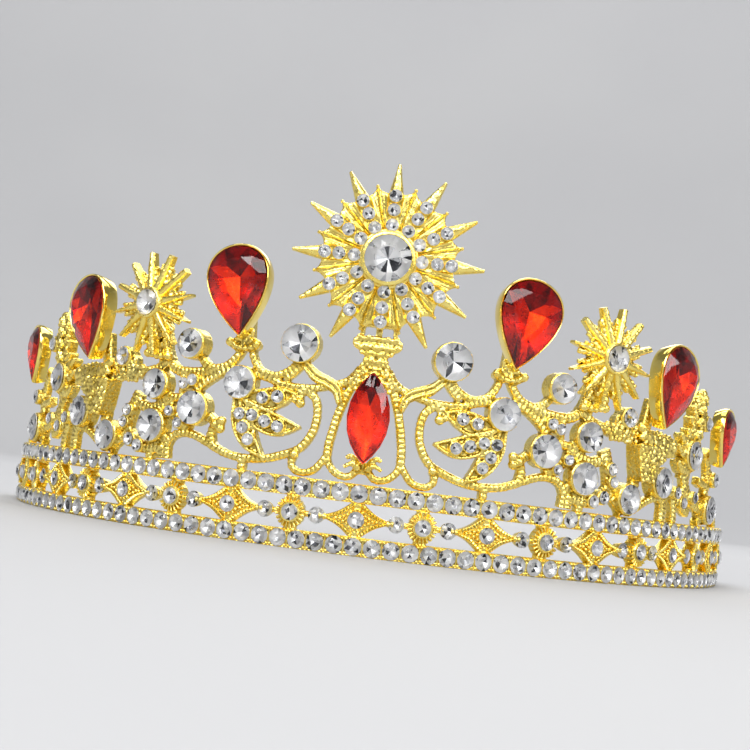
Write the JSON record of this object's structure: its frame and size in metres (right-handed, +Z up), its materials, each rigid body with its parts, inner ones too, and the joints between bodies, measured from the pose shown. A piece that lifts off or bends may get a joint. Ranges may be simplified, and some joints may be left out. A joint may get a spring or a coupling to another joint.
{
  "type": "tiara",
  "caption": "Half-round openwork tiara with a three-row stone band, scrollwork crest, three suns, and red pear and marquise stones in raised cups.",
  "frame": {"origin": "middle of the bounding box, at the level of the flat underside of the lower rail", "axes": "+Z up, +X towards the wearer's left along the widest span, +Y from the front of the band towards its open back"},
  "size_m": [0.1668, 0.0916, 0.0728],
  "materials": {
    "gold_casting": "bright yellow gold plate over a granulated and ribbed casting",
    "gold_cup": "smooth polished yellow gold plate",
    "red_crystal": "faceted and foil backed, red",
    "clear_crystal": "faceted and foil backed, colourless"
  },
  "bodies": {
    "root": {"lower_rail": "gold_casting", "upper_rail": "gold_casting", "middle_row": "gold_casting", "center_crest": "gold_casting", "center_sun": "gold_casting", "right_end_eyelet": "gold_casting", "right_scroll_panel": "gold_casting", "right_stone_cluster": "gold_casting", "right_vase_panel": "gold_casting", "right_leaf_column": "gold_casting", "right_end_scroll": "gold_casting", "right_sun": "gold_casting", "left_end_eyelet": "gold_casting", "left_scroll_panel": "gold_casting", "left_stone_cluster": "gold_casting", "left_vase_panel": "gold_casting", "left_leaf_column": "gold_casting", "left_end_scroll": "gold_casting", "left_sun": "gold_casting", "marquise_cup": "gold_cup", "right_inner_pear_cup": "gold_cup", "right_outer_pear_cup": "gold_cup", "right_end_pear_cup": "gold_cup", "left_inner_pear_cup": "gold_cup", "left_outer_pear_cup": "gold_cup", "left_end_pear_cup": "gold_cup", "marquise_stone": "red_crystal", "right_inner_pear_stone": "red_crystal", "right_outer_pear_stone": "red_crystal", "right_end_pear_stone": "red_crystal", "left_inner_pear_stone": "red_crystal", "left_outer_pear_stone": "red_crystal", "left_end_pear_stone": "red_crystal", "lower_rail_stones": "clear_crystal", "upper_rail_stones": "clear_crystal", "center_sun_stone": "clear_crystal", "right_sun_stone": "clear_crystal", "right_top_stone": "clear_crystal", "right_pedestal_stone": "clear_crystal", "right_perch_stone": "clear_crystal", "right_ring_stone": "clear_crystal", "right_cluster_upper_stone": "clear_crystal", "right_cluster_lower_stone": "clear_crystal", "right_bud_stone": "clear_crystal", "right_arch_stone": "clear_crystal", "right_vase_foot_stone": "clear_crystal", "right_leaf_lower_stone": "clear_crystal", "right_end_lower_stone": "clear_crystal", "left_sun_stone": "clear_crystal", "left_top_stone": "clear_crystal", "left_pedestal_stone": "clear_crystal", "left_perch_stone": "clear_crystal", "left_ring_stone": "clear_crystal", "left_cluster_upper_stone": "clear_crystal", "left_cluster_lower_stone": "clear_crystal", "left_bud_stone": "clear_crystal", "left_arch_stone": "clear_crystal", "left_vase_foot_stone": "clear_crystal", "left_leaf_lower_stone": "clear_crystal", "left_end_lower_stone": "clear_crystal"}
  },
  "joints": []
}
